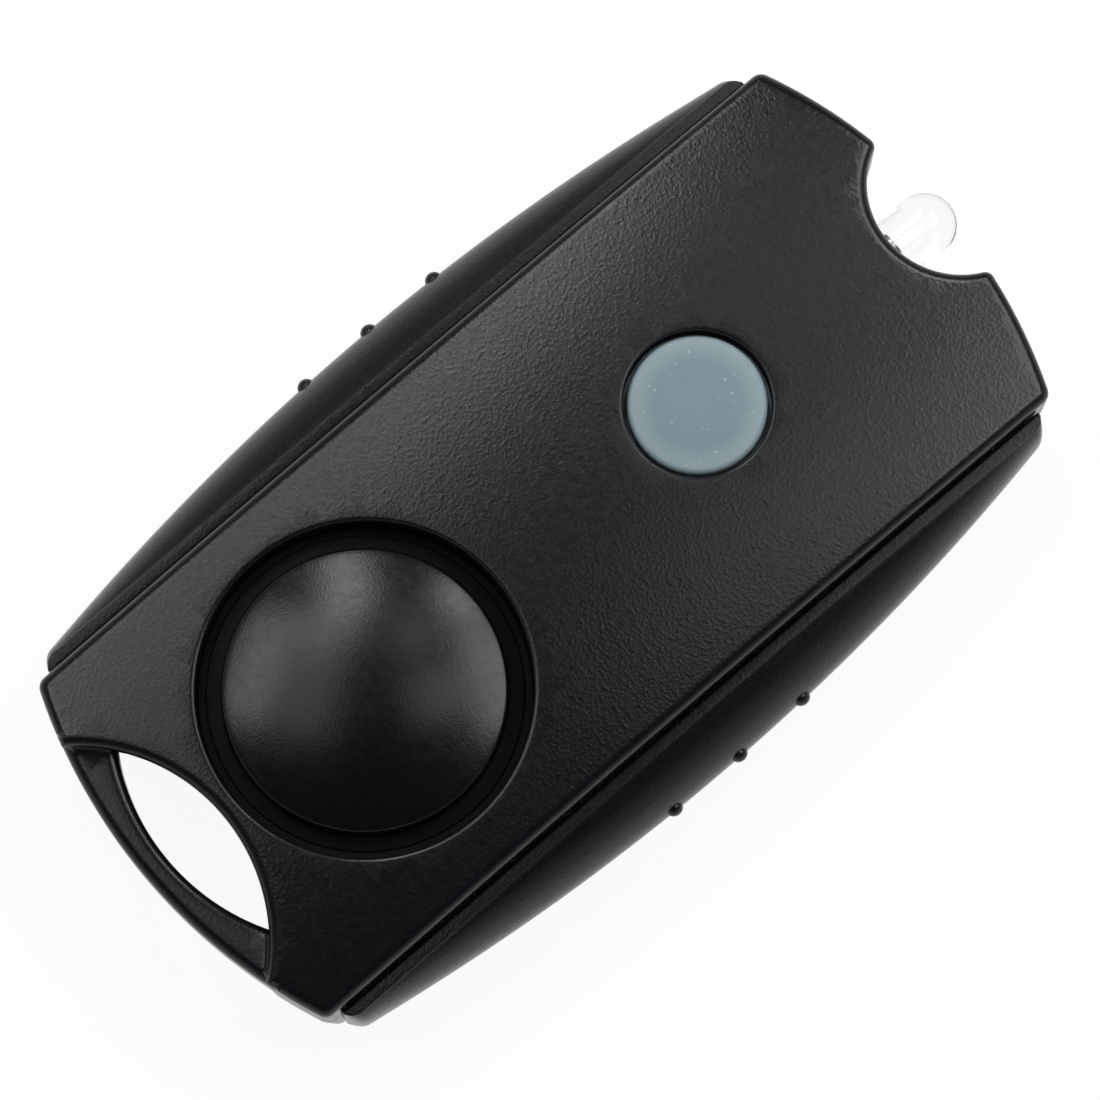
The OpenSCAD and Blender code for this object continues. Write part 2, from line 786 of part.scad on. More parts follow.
module light_contact_pill() {
    color("#2e2e30") translate([0, light_y, pill_bottom]) cylinder(r = pill_radius, h = pill_height);
}

module led_lens() {
    straight = led_length - led_radius;
    color("#e8eef2") difference() {
        translate([0, led_back_y, seam_height]) rotate([-90, 0, 0]) {
            cylinder(r = led_flange_radius, h = led_flange_thickness);
            cylinder(r = led_radius, h = straight);
            translate([0, 0, straight]) sphere(r = led_radius);
        }
        led_metal();
    }
}

module led_leadframe() {
    color("silver") led_metal();
}

// Two leads that end inside the lens: a broad one with the cup and a slim one
module led_metal() {
    start = board_y_max - 1.8;
    head_y = led_front_y + 0.6;
    for (side = [-1, 1])
        translate([side * lead_gap / 2 - lead / 2, start, seam_height - lead / 2])
            cube([lead, head_y - start + eps, lead]);
    translate([0, head_y, seam_height - lead / 2]) linear_extrude(lead) {
        polygon([[-1.52, 0], [-0.6, 0], [0.35, 1.1], [0.35, 1.9], [-1.35, 1.9]]);
        polygon([[0.95, 0], [1.52, 0], [1.4, 2], [0.75, 2], [0.75, 1.2]]);
    }
    translate([-0.4, head_y + 1.2, seam_height]) rotate([-90, 0, 0]) difference() {
        cylinder(r = 0.75, h = 1);
        translate([0, 0, 0.5]) cylinder(r1 = 0.3, r2 = 0.65, h = 0.5 + eps);
    }
}

module circuit_board() {
    color("#1f5c3a") difference() {
        translate([-board_width / 2, board_y_min, board_bottom])
            cube([board_width, board_y_max - board_y_min, board_thickness]);
        at_board_screws() cylinder(r = board_screw_radius + 0.1, h = case_height);
    }
}

module driver_chip() {
    legs = floor(chip_size.y / chip_pitch);
    color("#202022") translate([0, low_parts_y - chip_size.y / 2, board_top]) {
        translate([-chip_size.x / 2, -chip_size.y / 2, chip_stand]) cube(chip_size);
        for (side = [-1, 1], i = [0:legs])
            translate([side * (chip_size.x + chip_leg.x) / 2, chip_pitch * (i - legs / 2), chip_leg.z / 2])
                cube(chip_leg, center = true);
    }
}

module boost_coil_core() {
    color("#3a3a3c") translate([coil_place.x, coil_place.y, board_top]) {
        cylinder(r = coil_radius, h = coil_flange);
        cylinder(r = coil_core, h = coil_height);
        translate([0, 0, coil_height - coil_flange]) cylinder(r = coil_radius, h = coil_flange);
    }
}

module boost_coil_winding() {
    color("#b0652e") translate([coil_place.x, coil_place.y, board_top + coil_flange]) difference() {
        cylinder(r = coil_radius - play, h = coil_height - 2 * coil_flange);
        translate([0, 0, -1]) cylinder(r = coil_core + fit / 2, h = coil_height);
    }
}

module transistor() {
    color("#202022") translate([row_x, low_parts_y - transistor_size.y, board_top]) {
        translate([0, 0, chip_stand]) cube(transistor_size);
        for (place = [[0, 0.2], [0, 0.8], [1, 0.5]])
            translate([place.x * transistor_size.x, place.y * transistor_size.y, chip_leg.z / 2])
                cube([2 * chip_leg.x, chip_leg.y, chip_leg.z], center = true);
    }
}

module resistors() {
    color("#3b3b3d") for (i = [1:3])
        translate([row_x, low_parts_y - transistor_size.y - resistor_pitch * i, board_top])
            cube(resistor_size);
}

module capacitor() {
    color("#b9bcc0") translate([can_place.x, can_place.y, board_top]) {
        translate([-can_foot.x / 2, -can_foot.y / 2, 0]) cube(can_foot);
        cylinder(r = can_radius, h = can_height);
    }
}

module siren_plate() {
    color("#b08d3c") translate([0, siren_y, siren_seat_z])
        cylinder(r = siren_radius, h = siren_plate_thickness);
}

module siren_ceramic() {
    color("#e6e2d6") translate([0, siren_y, siren_plate_top])
        cylinder(r = ceramic_radius, h = ceramic_thickness);
}

// Foam ring that the board presses down on the plate's rim
module siren_gasket() {
    color("#2a2a2b") translate([0, siren_y, siren_plate_top]) difference() {
        cylinder(r = siren_radius - 0.2, h = board_bottom - siren_plate_top);
        translate([0, 0, -1]) cylinder(r = siren_radius - 0.2 - gasket_width, h = case_height);
    }
}

// Two short wires from the siren up to the board
module siren_leads() {
    foot_plate = siren_plate_top;
    foot_ceramic = siren_plate_top + ceramic_thickness;
    color("#a02020") translate([-3, siren_y, foot_ceramic])
        cylinder(r = 0.35, h = board_bottom - foot_ceramic);
    color("#202020") translate([0, siren_y + ceramic_radius + 0.5, foot_plate])
        cylinder(r = 0.35, h = board_bottom - foot_plate);
}

// Coin cell: a can with a smaller cap on its upper side
module coin_cell(base_z) {
    color("#c9ccd0") translate([0, battery_y, base_z]) {
        cylinder(r = cell_radius, h = cell_thickness - cell_step);
        cylinder(r = cell_radius - 1.2, h = cell_thickness);
    }
}

module coin_cell_lower() {
    coin_cell(cell_base_z);
}

module coin_cell_upper() {
    coin_cell(cell_base_z + cell_thickness);
}

// Arched leaf between the board and the upper cell
module battery_contact_negative() {
    sag = board_bottom - cell_top;
    half_span = 5;
    radius = (half_span ^ 2 + sag ^ 2) / (2 * sag);
    color("#c8b27a") translate([0, battery_y + contact_width / 2, 0]) rotate([90, 0, 0])
        linear_extrude(contact_width) intersection() {
            translate([0, cell_top + radius]) difference() {
                circle(r = radius);
                circle(r = radius - contact_thickness);
            }
            translate([-2 * half_span, cell_top]) square([4 * half_span, sag]);
        }
}

// Strip from the board down beside the cells, with a foot against the lower cell's can
module battery_contact_positive() {
    foot_z = ear_top + play;
    foot_height = max(contact_thickness / 2, cell_base_z + cell_thickness - cell_step - foot_z);
    front_y = battery_y + cell_radius + contact_play;
    color("#c8b27a") {
        translate([-contact_width / 2, front_y + contact_reach - contact_thickness, foot_z])
            cube([contact_width, contact_thickness, board_bottom - foot_z]);
        translate([-contact_width / 2, front_y, foot_z])
            cube([contact_width, contact_reach, foot_height]);
    }
}

// Round cap that a coin turns: three ears hold it behind the lip of the bay
module battery_cap() {
    color(black_plastic) translate([0, battery_y, 0]) difference() {
        union() {
            translate([0, 0, cap_face]) cylinder(r = cap_radius, h = cap_disc_top - cap_face);
            translate([0, 0, cap_disc_top - eps])
                cylinder(r = cap_plug_radius, h = ear_top - cap_disc_top + eps);
            ears(0, 0, 0, ear_bottom, ear_top);
        }
        translate([0, 0, cell_base_z]) cylinder(r = cell_radius + 0.1, h = case_height);
        coin_groove();
    }
}

// Groove for the coin, round at its ends
module coin_groove() {
    half_straight = coin_slot_length / 2 - coin_slot / 2;
    translate([-half_straight, -coin_slot / 2, -1])
        cube([2 * half_straight, coin_slot, 1 + coin_slot_depth]);
    for (side = [-1, 1]) translate([side * half_straight, 0, -1])
        cylinder(r = coin_slot / 2, h = 1 + coin_slot_depth);
}

module battery_cap_seal() {
    color("#28282a") translate([0, battery_y, cap_disc_top]) difference() {
        cylinder(r = cap_radius - 0.1, h = seal_thickness);
        translate([0, 0, -1]) cylinder(r = cap_plug_radius + 0.1, h = 3);
    }
}

front_cover();
back_cover();
left_grip();
right_grip();
case_screws();
alarm_button();
alarm_button_spring();
alarm_switch_body();
alarm_switch_plunger();
light_button();
light_button_skirt();
light_contact_pill();
led_lens();
led_leadframe();
circuit_board();
board_screws();
driver_chip();
boost_coil_core();
boost_coil_winding();
transistor();
resistors();
capacitor();
siren_plate();
siren_ceramic();
siren_gasket();
siren_leads();
coin_cell_lower();
coin_cell_upper();
battery_contact_negative();
battery_contact_positive();
battery_cap();
battery_cap_seal();
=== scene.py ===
# %% [markdown]
# # A personal safety alarm
# The alarm is a black plastic case that fills the palm. Its face carries a large domed button and
# a small silicone one, a clear LED looks out of one end, and a strap ties to a bar at the other.
# The measured model comes first, as a fixed frame. Each visible piece is then modelled again with
# soft edges and a proper finish, in the same place, so that nothing about its size changes.

import json
from math import cos, pi, radians, sin, sqrt, tau

import bmesh
import bpy
from mathutils import Matrix, Vector

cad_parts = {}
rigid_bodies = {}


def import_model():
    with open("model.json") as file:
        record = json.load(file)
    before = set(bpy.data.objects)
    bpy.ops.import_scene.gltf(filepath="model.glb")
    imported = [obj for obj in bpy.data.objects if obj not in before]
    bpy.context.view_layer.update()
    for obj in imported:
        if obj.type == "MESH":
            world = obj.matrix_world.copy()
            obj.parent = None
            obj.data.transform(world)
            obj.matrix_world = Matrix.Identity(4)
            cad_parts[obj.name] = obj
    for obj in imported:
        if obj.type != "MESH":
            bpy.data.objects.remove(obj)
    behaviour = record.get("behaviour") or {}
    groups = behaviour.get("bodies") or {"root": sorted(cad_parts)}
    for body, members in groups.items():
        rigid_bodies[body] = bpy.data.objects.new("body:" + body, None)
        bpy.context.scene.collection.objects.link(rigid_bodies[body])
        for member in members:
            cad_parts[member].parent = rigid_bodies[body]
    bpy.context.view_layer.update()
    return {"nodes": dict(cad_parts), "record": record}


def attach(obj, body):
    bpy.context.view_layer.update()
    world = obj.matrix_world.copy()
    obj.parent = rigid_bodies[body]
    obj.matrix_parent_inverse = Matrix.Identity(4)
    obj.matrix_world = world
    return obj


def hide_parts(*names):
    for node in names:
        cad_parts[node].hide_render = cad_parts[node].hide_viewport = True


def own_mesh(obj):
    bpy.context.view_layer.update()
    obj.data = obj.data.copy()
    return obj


for leftover in list(bpy.data.objects):
    bpy.data.objects.remove(leftover)
scene = bpy.context.scene
scene.view_settings.view_transform = "Standard"
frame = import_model()
mm = 0.001

# %% [markdown]
# ## The camera
# The photograph looks down on the alarm from a little towards its near side. A long lens keeps the
# two ends almost the same size. The camera is placed by its direction and distance, and then aimed
# at a point on the face, so that no lens shift is needed.

# %% Aim the camera
azimuth, elevation = radians(49.1), radians(80.5)
towards_camera = Vector((sin(azimuth) * cos(elevation), -cos(azimuth) * cos(elevation), sin(elevation)))
camera_right = Vector((cos(azimuth), sin(azimuth), 0))
camera_up = towards_camera.cross(camera_right)
aim = Vector((0, 0, 16 * mm)) + 0.31 * mm * camera_right - 1.39 * mm * camera_up
camera = bpy.data.objects.new("camera", bpy.data.cameras.new("camera"))
camera.data.lens = 196
camera.data.sensor_width = 36
camera.rotation_mode = "QUATERNION"
camera.rotation_quaternion = (-towards_camera).to_track_quat("-Z", "Y")
camera.location = aim + 455 * mm * towards_camera
scene.collection.objects.link(camera)
scene.camera = camera
print("camera at", [round(v / mm) for v in camera.location], "mm")

# %% [markdown]
# ## Sizes that the covers share
# These repeat the sizes of the measured model, in millimetres, because the two covers, the strap
# bar and the grips all follow the same outline: two straight sides and two bowed ends, with a round
# notch for the LED and a round scoop for the strap.

# %% Shared sizes
half_length, half_width, seam, height = 40, 17, 8, 16
end_radius = (half_width**2 + 3.4**2) / (2 * 3.4)
led_end = half_length - end_radius
strap_end = -led_end
notch_y, notch_radius = half_length + 2.1, 7.06
scoop_y, scoop_radius = -half_length - 7.7, 15.15
alarm_y, light_y, battery_y, siren_y = -18.2, 15.3, 14, -16


def face_drop(x, y):
    """How far the crowned face lies below its highest point."""
    across = 400 - 112 + sqrt(112**2 - x**2)
    return 400 - sqrt(across**2 - y**2)


print("end radius", round(end_radius, 2), "mm, drop at a corner", round(face_drop(17, 36.6), 2), "mm")

# %% [markdown]
# ## Drawing with one vertex
# An outline can be drawn by moving a single vertex. Spin carries it along an arc and leaves edges
# behind, and an extrusion pulls it along a straight line. A ring drawn this way has the same number
# of vertices at any inset, so two rings at different heights can be joined by Bridge Edge Loops.

# %% Helpers that draw and join rings
def start_at(bm, x, y, z):
    return bmesh.ops.create_vert(bm, co=(x, y, z))["vert"][0]


def arc_to(bm, vert, centre, end, steps, axis=Vector((0, 0, 1))):
    """Spin a vertex round a centre, the shorter way, until it reaches an end point."""
    centre, end = Vector(centre), Vector(end)
    before, after = vert.co - centre, end - centre
    angle = before.angle(after)
    if before.cross(after).dot(axis) < 0:
        angle = -angle
    made = bmesh.ops.spin(bm, geom=[vert], cent=centre, axis=axis, angle=angle, steps=steps)
    last = next(g for g in made["geom_last"] if isinstance(g, bmesh.types.BMVert))
    last.co = end
    return last


def line_to(bm, vert, end, steps=1):
    """Pull a vertex along a straight line in even steps."""
    start, end = vert.co.copy(), Vector(end)
    for step in range(1, steps + 1):
        vert = bmesh.ops.extrude_vert_indiv(bm, verts=[vert])["verts"][0]
        vert.co = start.lerp(end, step / steps)
    return vert


def mirrored(bm, before):
    """Mirror the half ring drawn since a moment and return the edges of the whole ring."""
    half = [e for e in bm.edges if e not in before]
    verts = {v for e in half for v in e.verts}
    bmesh.ops.mirror(bm, geom=half + list(verts), axis="X", merge_dist=1e-4)
    return [e for e in bm.edges if e not in before]


def circle(bm, x, y, z, radius, segments=96):
    made = bmesh.ops.create_circle(bm, segments=segments, radius=radius, matrix=Matrix.Translation((x, y, z)))
    return list({e for v in made["verts"] for e in v.link_edges})


def join(bm, rings):
    """Bridge each ring to the next and return the new faces."""
    faces = []
    for first, second in zip(rings, rings[1:]):
        faces += bmesh.ops.bridge_loops(bm, edges=first + second)["faces"]
    return faces


def fill(bm, edges):
    """Fill a flat outline, leaving any rings inside it open."""
    made = bmesh.ops.triangle_fill(bm, use_beauty=True, use_dissolve=False, edges=edges)["geom"]
    return [g for g in made if isinstance(g, bmesh.types.BMFace)]


def quarter(radius, steps=5):
    """Inset and height of a rounded edge, from the upright wall to the flat top."""
    return [(radius * (1 - cos(pi / 2 * i / steps)), radius * sin(pi / 2 * i / steps)) for i in range(steps + 1)]


# %% [markdown]
# ## The outline of the covers
# Where two arcs meet, a small fillet rounds the corner. Its centre lies at a known distance from
# both arcs' centres, and all those centres are on the long axis, so two lines of algebra find it.

# %% The covers' outline at any inset
def between_circles(y0, r0, y1, r1):
    """Right-hand crossing of two circles whose centres lie on the long axis."""
    y = (r0**2 - r1**2 + y1**2 - y0**2) / (2 * (y1 - y0))
    return Vector((sqrt(r0**2 - (y - y0) ** 2), y, 0))


def cover_outline(bm, z, inset=0.0, corner=1.0, tip=0.5,
                  scoop=scoop_radius, lean=0.0, bar_tip=None):
    """Closed ring round a cover, drawn in by an inset, with rounded corners and tips.

    The tips beside the strap bar may have a radius of their own.
    """
    side, end_r = half_width - inset, end_radius - inset - lean
    notch_r, scoop_r = notch_radius + inset, scoop + inset
    up = Vector((0, 0, z))

    def on(y, radius, towards):
        """Point of a circle in the direction of another point."""
        centre = Vector((0, y, 0))
        return centre + (towards - centre).normalized() * radius + up

    bar_tip = bar_tip or tip
    strap_tip = between_circles(scoop_y, scoop_r + bar_tip, strap_end, end_r - bar_tip)
    notch_tip = between_circles(notch_y, notch_r + tip, led_end, end_r - tip)
    reach = sqrt((end_r - corner) ** 2 - (side - corner) ** 2)
    strap_corner = Vector((side - corner, strap_end - reach, 0))
    led_corner = Vector((side - corner, led_end + reach, 0))

    before = set(bm.edges)
    v = start_at(bm, 0, scoop_y + scoop_r, z)
    v = arc_to(bm, v, (0, scoop_y, z), on(scoop_y, scoop_r, strap_tip), 28)
    v = arc_to(bm, v, strap_tip + up, on(strap_end, end_r, strap_tip), 5)
    v = arc_to(bm, v, (0, strap_end, z), on(strap_end, end_r, strap_corner), 6)
    v = arc_to(bm, v, strap_corner + up, Vector((side, strap_corner.y, z)), 6)
    v = line_to(bm, v, (side, led_corner.y, z), 40)
    v = arc_to(bm, v, led_corner + up, on(led_end, end_r, led_corner), 6)
    v = arc_to(bm, v, (0, led_end, z), on(led_end, end_r, notch_tip), 10)
    v = arc_to(bm, v, notch_tip + up, on(notch_y, notch_r, notch_tip), 5)
    arc_to(bm, v, (0, notch_y, z), (0, notch_y - notch_r, z), 36)
    return mirrored(bm, before)


# %% [markdown]
# ## From bmesh to piece
# Every piece ends the same way: doubles are merged, normals are turned outwards, the faces are
# shaded smooth with sharp edges kept by angle, and the piece is told which body it moves with. Faces
# whose vertices are marked as sunk, in wells and holes, may take a second, duller finish.

# %% Finish a piece
def piece(name, bm, body, material, sharp=38, walls=None):
    bmesh.ops.remove_doubles(bm, verts=bm.verts, dist=1e-4)
    bmesh.ops.recalc_face_normals(bm, faces=bm.faces)
    bmesh.ops.scale(bm, verts=bm.verts, vec=(mm, mm, mm))
    open_edges = sum(not e.is_manifold for e in bm.edges)
    if walls:
        sunk = bm.verts.layers.float["sunk"]
        for face in bm.faces:
            face.material_index = int(sum(v[sunk] for v in face.verts) >= len(face.verts) / 2)
    mesh = bpy.data.meshes.new(name)
    bm.to_mesh(mesh)
    bm.free()
    mesh.shade_smooth()
    mesh.set_sharp_from_angle(angle=radians(sharp))
    mesh.materials.append(material)
    if walls:
        mesh.materials.append(walls)
    made = bpy.data.objects.new(name, mesh)
    scene.collection.objects.link(made)
    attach(made, body)
    print(name, len(mesh.polygons), "faces,", open_edges, "open edges")
    return made


# %% [markdown]
# ## Finishes
# Moulded plastic is never one flat colour. Each finish here starts from the Principled shader and adds
# a little drift of tone, a roughness that varies, and a bump whose size is that of the real grain.
# All patterns read Object coordinates in metres, so a scale of 3000 means a third of a millimetre.

# %% Helpers for finishes
def add(tree, kind, settings=None, **inputs):
    """Add a shader node, set its options and either link or set each named input."""
    made = tree.nodes.new(kind)
    for name, value in (settings or {}).items():
        setattr(made, name, value)
    for name, value in inputs.items():
        socket = made.inputs[int(name[1:])] if name[0] == "_" else made.inputs[name.replace("_", " ")]
        if isinstance(value, bpy.types.NodeSocket):
            tree.links.new(value, socket)
        else:
            socket.default_value = value
    return made


def new_finish(name):
    """A material with its node tree, its shader and the Object coordinates."""
    material = bpy.data.materials.new(name)
    material.use_nodes = True
    tree = material.node_tree
    shader = next(n for n in tree.nodes if n.type == "BSDF_PRINCIPLED")
    place = tree.nodes.new("ShaderNodeTexCoord").outputs["Object"]
    return material, tree, shader, place


def blend_colours(tree, factor, first, second):
    mix = tree.nodes.new("ShaderNodeMix")
    mix.data_type = "RGBA"
    for socket, value in ((mix.inputs[0], factor), (mix.inputs[6], first), (mix.inputs[7], second)):
        if isinstance(value, bpy.types.NodeSocket):
            tree.links.new(value, socket)
        else:
            socket.default_value = (*value, 1)
    return mix.outputs[2]


def span(tree, value, low, high, start=0.0, end=1.0):
    """Stretch a value from one range to another."""
    made = add(tree, "ShaderNodeMapRange", Value=value, From_Min=start, From_Max=end, To_Min=low, To_Max=high)
    return made.outputs["Result"]


def noise(tree, place, scale, detail=3.0, roughness=0.55):
    made = add(tree, "ShaderNodeTexNoise", Vector=place, Scale=scale, Detail=detail, Roughness=roughness)
    return made.outputs["Fac"]


# %% [markdown]
# ## Grained black plastic
# The covers carry a leather grain, eroded into the mould: soft pebbles a third of a millimetre
# wide. Smooth Voronoi cells give the pebbles, and a finer noise breaks them up. The rounded edges are
# handled more, so an attribute that marks them makes the grain fade and the plastic shine there. A
# duller mix of the same plastic is for the walls of wells and holes, which no hand polishes.

# %% Mix the grained plastic
def grained_plastic(name, tone, gloss, grain_size, grain_depth, shine=0.42):
    material, tree, shader, place = new_finish(name)
    worn = add(tree, "ShaderNodeAttribute", {"attribute_name": "rim"}).outputs["Fac"]
    pebbles = add(tree, "ShaderNodeTexVoronoi", {"feature": "SMOOTH_F1"}, Vector=place,
                  Scale=1 / (grain_size * mm), Smoothness=0.6).outputs["Distance"]
    fine = noise(tree, place, 1.6 / (grain_size * mm), 2)
    soft = add(tree, "ShaderNodeMath", {"operation": "MULTIPLY"}, _0=pebbles, _1=pebbles).outputs[0]
    grain = add(tree, "ShaderNodeMath", {"operation": "MULTIPLY_ADD"}, _0=fine, _1=0.8, _2=soft).outputs[0]
    bump = add(tree, "ShaderNodeBump", Height=grain, Strength=span(tree, worn, 1.0, 0.35),
               Distance=grain_depth * mm)
    tree.links.new(bump.outputs["Normal"], shader.inputs["Normal"])
    drift = noise(tree, place, 140, 4)
    plain = blend_colours(tree, drift, tuple(0.8 * t for t in tone), tuple(1.2 * t for t in tone))
    uneven = span(tree, drift, 0.2, 0.9, 0.35, 0.65)
    rubbed = add(tree, "ShaderNodeMath", {"operation": "MULTIPLY"}, _0=worn, _1=uneven).outputs[0]
    colour = blend_colours(tree, rubbed, plain, tuple(1.5 * t for t in tone))
    tree.links.new(colour, shader.inputs["Base Color"])
    speckle = span(tree, noise(tree, place, 1500, 2), gloss - 0.03, gloss + 0.03, 0.3, 0.7)
    rough = add(tree, "ShaderNodeMath", {"operation": "MULTIPLY_ADD"}, _0=worn, _1=-0.05, _2=speckle)
    tree.links.new(rough.outputs[0], shader.inputs["Roughness"])
    shader.inputs["Specular IOR Level"].default_value = shine
    shader.inputs["IOR"].default_value = 1.49
    return material


case_tone, dome_tone = (0.0034, 0.0038, 0.0052), (0.0026, 0.0027, 0.0032)
case_plastic = grained_plastic("grained_case", case_tone, 0.27, 0.27, 0.016)
grip_plastic = grained_plastic("satin_grip", (0.0036, 0.0038, 0.0046), 0.28, 0.24, 0.013)
dome_plastic = grained_plastic("smooth_dome", dome_tone, 0.25, 0.19, 0.005)
case_walls = grained_plastic("dull_case_walls", case_tone, 0.62, 0.27, 0.016, 0.1)
dome_walls = grained_plastic("dull_dome_walls", dome_tone, 0.6, 0.19, 0.005, 0.1)
grained = (case_plastic, grip_plastic, dome_plastic, case_walls, dome_walls)
print("grained finishes:", [finish.name for finish in grained])

# %% [markdown]
# ## Silicone, epoxy, metals and the rest
# The small button is grey-blue silicone: matt, with a painted sheen round its rim, and a few specks of
# dust that silicone always holds. The LED is clear epoxy. Metals take a fine drawn streak, and
# everything else inside the case gets a moulded look in its own colour.

# %% Mix the other finishes
def silicone_finish():
    material, tree, shader, place = new_finish("silicone")
    centred = add(tree, "ShaderNodeMapping", Vector=place,
                  Location=(0, -light_y * mm, 0), Scale=(1, 1, 0)).outputs[0]
    radius = add(tree, "ShaderNodeVectorMath", {"operation": "LENGTH"}, _0=centred).outputs["Value"]
    # Painted sheen: the colour turns paler towards the button's rounded edge, standing in for the light that
    # edge catches.
    rim = span(tree, radius, 0, 1, 3.4 * mm, 5.2 * mm)
    cloudy = noise(tree, place, 300, 4)
    middle = blend_colours(tree, cloudy, (0.183, 0.262, 0.298), (0.223, 0.306, 0.343))
    skin_with_painted_sheen = blend_colours(tree, rim, middle, (0.29, 0.378, 0.415))
    dust = add(tree, "ShaderNodeTexVoronoi", Vector=place, Scale=1300, Randomness=1.0)
    speck = span(tree, dust.outputs["Distance"], 1, 0, 0.08, 0.18)
    few = span(tree, noise(tree, place, 520, 1), 0, 0.6, 0.5, 0.56)
    shown = add(tree, "ShaderNodeMath", {"operation": "MULTIPLY"}, _0=speck, _1=few).outputs[0]
    tree.links.new(blend_colours(tree, shown, skin_with_painted_sheen, (0.6, 0.66, 0.66)), shader.inputs["Base Color"])
    tree.links.new(span(tree, cloudy, 0.5, 0.64), shader.inputs["Roughness"])
    bump = add(tree, "ShaderNodeBump", Height=noise(tree, place, 5000, 2), Strength=0.6, Distance=0.008 * mm)
    tree.links.new(bump.outputs["Normal"], shader.inputs["Normal"])
    return material


def epoxy_finish():
    material, tree, shader, place = new_finish("clear_epoxy")
    tint = blend_colours(tree, noise(tree, place, 400, 2), (0.97, 0.985, 0.99), (1.0, 1.0, 1.0))
    tree.links.new(tint, shader.inputs["Base Color"])
    tree.links.new(span(tree, noise(tree, place, 900, 2), 0.01, 0.05), shader.inputs["Roughness"])
    shader.inputs["Transmission Weight"].default_value = 1.0
    shader.inputs["IOR"].default_value = 1.3
    return material


def metal_finish(name, colour, rough, streak=(2500, 2500, 120)):
    material, tree, shader, place = new_finish(name)
    stretched = add(tree, "ShaderNodeMapping", Vector=place, Scale=streak).outputs[0]
    lines = noise(tree, stretched, 1, 3)
    tone = blend_colours(tree, lines, tuple(0.82 * c for c in colour), colour)
    tree.links.new(tone, shader.inputs["Base Color"])
    tree.links.new(span(tree, lines, rough - 0.07, rough + 0.1, 0.3, 0.7), shader.inputs["Roughness"])
    bump = add(tree, "ShaderNodeBump", Height=lines, Strength=0.5, Distance=0.004 * mm)
    tree.links.new(bump.outputs["Normal"], shader.inputs["Normal"])
    shader.inputs["Metallic"].default_value = 1.0
    return material


def moulded_finish(name, colour, rough, grain=3000):
    material, tree, shader, place = new_finish(name)
    tone = noise(tree, place, 250, 4)
    dark, pale = tuple(0.8 * c for c in colour), tuple(min(1, 1.15 * c) for c in colour)
    tree.links.new(blend_colours(tree, tone, dark, pale), shader.inputs["Base Color"])
    tree.links.new(span(tree, tone, rough - 0.08, rough + 0.08, 0.3, 0.7), shader.inputs["Roughness"])
    bump = add(tree, "ShaderNodeBump", Height=noise(tree, place, grain, 2), Strength=0.6, Distance=0.01 * mm)
    tree.links.new(bump.outputs["Normal"], shader.inputs["Normal"])
    return material


silicone, epoxy = silicone_finish(), epoxy_finish()
steel = metal_finish("steel", (0.60, 0.60, 0.61), 0.32)
finish_of_slot = {
    "black_plastic": case_plastic, "grip_plastic": grip_plastic, "button_plastic": dome_plastic,
    "silicone": silicone, "clear_lens": epoxy, "steel": steel,
    "cell_steel": metal_finish("cell_steel", (0.68, 0.69, 0.70), 0.24, (900, 900, 900)),
    "contact_brass": metal_finish("contact_brass", (0.70, 0.57, 0.31), 0.3),
    "siren_brass": metal_finish("siren_brass", (0.66, 0.48, 0.19), 0.3, (150, 2600, 150)),
    "copper": metal_finish("copper_wire", (0.70, 0.29, 0.13), 0.35, (60, 60, 5200)),
    "aluminium_can": metal_finish("aluminium_can", (0.70, 0.71, 0.73), 0.3),
    "carbon_pill": moulded_finish("carbon_pill", (0.025, 0.025, 0.027), 0.7),
    "board": moulded_finish("board", (0.015, 0.11, 0.045), 0.4, 1800),
    "package": moulded_finish("package", (0.018, 0.018, 0.019), 0.6),
    "switch_body": moulded_finish("switch_body", (0.03, 0.03, 0.032), 0.5),
    "switch_plunger": moulded_finish("switch_plunger", (0.72, 0.72, 0.70), 0.45),
    "ferrite": moulded_finish("ferrite", (0.045, 0.045, 0.048), 0.65, 4200),
    "piezo_ceramic": moulded_finish("piezo_ceramic", (0.72, 0.69, 0.60), 0.5, 5200),
    "foam": moulded_finish("foam", (0.035, 0.035, 0.037), 0.9, 1500),
    "seal_rubber": moulded_finish("seal_rubber", (0.025, 0.025, 0.027), 0.6),
    "lead_wire": moulded_finish("lead_wire", (0.25, 0.03, 0.03), 0.45),
}
slot_of_node = {row["node"]: row["material_slot"] for row in frame["record"]["subparts"]}
for name, node_object in frame["nodes"].items():
    node_object.data.materials.clear()
    node_object.data.materials.append(finish_of_slot[slot_of_node[name]])
print("finishes:", len(finish_of_slot), "slots on", len(slot_of_node), "nodes")

# %% [markdown]
# ## Front cover
# The cover is a hollow shell. Rings run up the outer wall, round its upper edge and across to the
# holes for the two buttons. Another set of rings makes the inner wall. The face is filled flat, cut
# into a grid by Bisect, and then every vertex is lowered to the crowned face, so that the rounded
# edges follow the crown as well.

# %% Model the front cover
def mark_rim(bm, rings):
    """Remember the vertices of rounded edges, for the finish."""
    rim = bm.verts.layers.float.get("rim") or bm.verts.layers.float.new("rim")
    for v in {v for ring in rings for e in ring for v in e.verts}:
        v[rim] = 1


